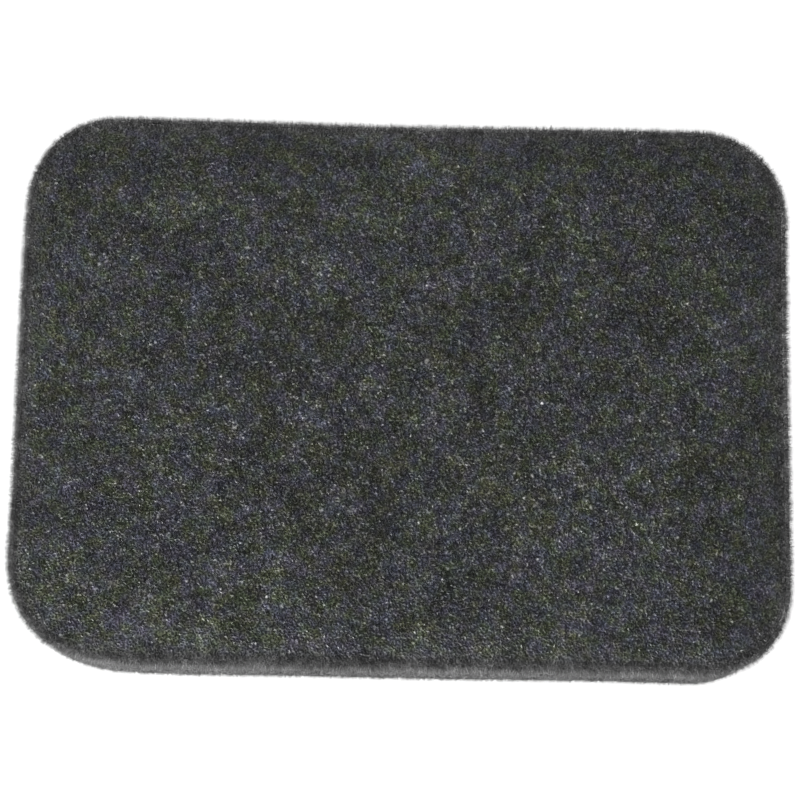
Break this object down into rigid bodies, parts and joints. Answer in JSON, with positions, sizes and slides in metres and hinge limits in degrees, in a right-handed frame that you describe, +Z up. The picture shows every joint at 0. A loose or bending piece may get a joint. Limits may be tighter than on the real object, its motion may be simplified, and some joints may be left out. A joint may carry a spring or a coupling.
{
  "type": "foam air filter element",
  "caption": "Flat rectangular block of black open-cell foam with rounded corners, the filter element of a small engine's air cleaner.",
  "frame": {"origin": "middle of the lower face, which rests in the housing's tray", "axes": "+X along the long side, +Y across the width, +Z up through the thickness to the face that the cover presses on"},
  "size_m": [0.13, 0.093, 0.02],
  "materials": {
    "filter_foam": "matt charcoal-black polyurethane foam, open cells of about half a millimetre"
  },
  "bodies": {
    "root": {"foam_element": "filter_foam"}
  },
  "joints": []
}
